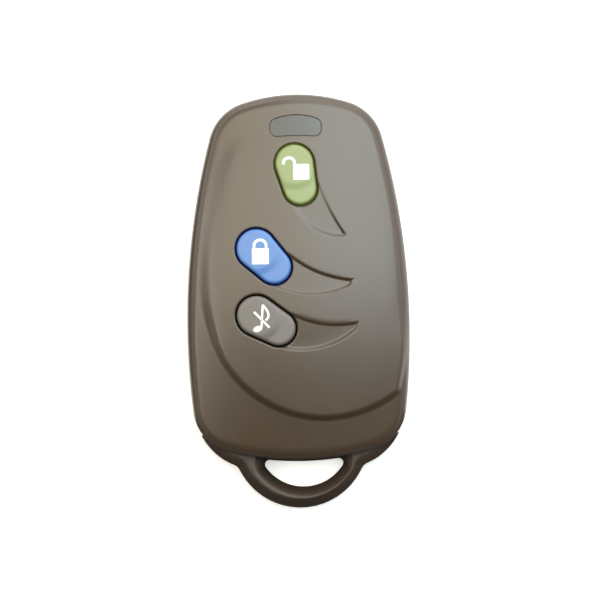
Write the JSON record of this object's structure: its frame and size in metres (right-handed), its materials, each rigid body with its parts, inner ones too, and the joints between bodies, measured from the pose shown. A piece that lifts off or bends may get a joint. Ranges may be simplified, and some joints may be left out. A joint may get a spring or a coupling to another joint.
{
  "type": "car alarm remote",
  "caption": "Slim rounded car alarm remote with coloured lock, unlock and mute keys, a lamp window and a key-ring loop.",
  "frame": {"origin": "middle of the back face, under the middle of the overall length", "axes": "+Z out of the front face with the keys, +Y towards the lamp end, +X to the right seen from the front"},
  "size_m": [0.0386, 0.072, 0.0135],
  "materials": {
    "cover_plastic": "satin taupe moulding",
    "back_plastic": "satin dark brown moulding",
    "lens_plastic": "translucent grey",
    "green_key": "satin with a white printed sign",
    "blue_key": "satin with a white printed sign",
    "grey_key": "satin with a white printed sign",
    "silicone": "moulded silicone",
    "board_laminate": "glass-fibre board with green solder mask",
    "copper_track": "copper under clear lacquer",
    "chip_plastic": "moulded epoxy",
    "tinned_lead": "tinned",
    "lid_metal": "plated metal lid",
    "resistor_ceramic": "glazed ceramic",
    "capacitor_ceramic": "bare ceramic",
    "led_resin": "clear epoxy over a white base",
    "cell_steel": "stamped stainless steel",
    "gasket_plastic": "nylon seal",
    "contact_steel": "nickel-plated spring strip",
    "switch_plastic": "moulded nylon",
    "switch_steel": "stamped",
    "plunger_plastic": "moulded",
    "zinc_steel": "zinc-plated"
  },
  "bodies": {
    "case": {"front_cover": "cover_plastic", "rear_cover": "back_plastic", "led_lens": "lens_plastic", "case_screw": "zinc_steel", "keypad_membrane": "silicone", "circuit_board": "board_laminate", "antenna_track": "copper_track", "encoder_chip": "chip_plastic", "encoder_leads": "tinned_lead", "saw_resonator": "lid_metal", "rf_transistor": "chip_plastic", "chip_resistors": "resistor_ceramic", "chip_capacitors": "capacitor_ceramic", "status_led": "led_resin", "coin_cell_can": "cell_steel", "coin_cell_gasket": "gasket_plastic", "coin_cell_cap": "cell_steel", "positive_contact": "contact_steel", "negative_contact": "contact_steel", "unlock_switch_body": "switch_plastic", "unlock_switch_cover": "switch_steel", "lock_switch_body": "switch_plastic", "lock_switch_cover": "switch_steel", "mute_switch_body": "switch_plastic", "mute_switch_cover": "switch_steel"},
    "unlock_key": {"unlock_key": "green_key"},
    "unlock_plunger": {"unlock_switch_plunger": "plunger_plastic"},
    "lock_key": {"lock_key": "blue_key"},
    "lock_plunger": {"lock_switch_plunger": "plunger_plastic"},
    "mute_key": {"mute_key": "grey_key"},
    "mute_plunger": {"mute_switch_plunger": "plunger_plastic"}
  },
  "joints": [
    {"name": "unlock_key_press", "type": "slide", "parent": "case", "child": "unlock_key", "axis": [0, 0, -1], "range_m": [0, 0.0005], "stiffness_N_per_m": 600, "springref_m": -0.0005, "deforming": ["keypad_membrane"]},
    {"name": "unlock_plunger_press", "type": "slide", "parent": "case", "child": "unlock_plunger", "axis": [0, 0, -1], "range_m": [0, 0.00025]},
    {"name": "lock_key_press", "type": "slide", "parent": "case", "child": "lock_key", "axis": [0, 0, -1], "range_m": [0, 0.0005], "stiffness_N_per_m": 600, "springref_m": -0.0005, "deforming": ["keypad_membrane"]},
    {"name": "lock_plunger_press", "type": "slide", "parent": "case", "child": "lock_plunger", "axis": [0, 0, -1], "range_m": [0, 0.00025]},
    {"name": "mute_key_press", "type": "slide", "parent": "case", "child": "mute_key", "axis": [0, 0, -1], "range_m": [0, 0.0005], "stiffness_N_per_m": 600, "springref_m": -0.0005, "deforming": ["keypad_membrane"]},
    {"name": "mute_plunger_press", "type": "slide", "parent": "case", "child": "mute_plunger", "axis": [0, 0, -1], "range_m": [0, 0.00025]}
  ],
  "couplings": [
    {"joint": "unlock_plunger_press", "follows": "unlock_key_press", "ratio": 0.5},
    {"joint": "lock_plunger_press", "follows": "lock_key_press", "ratio": 0.5},
    {"joint": "mute_plunger_press", "follows": "mute_key_press", "ratio": 0.5}
  ]
}
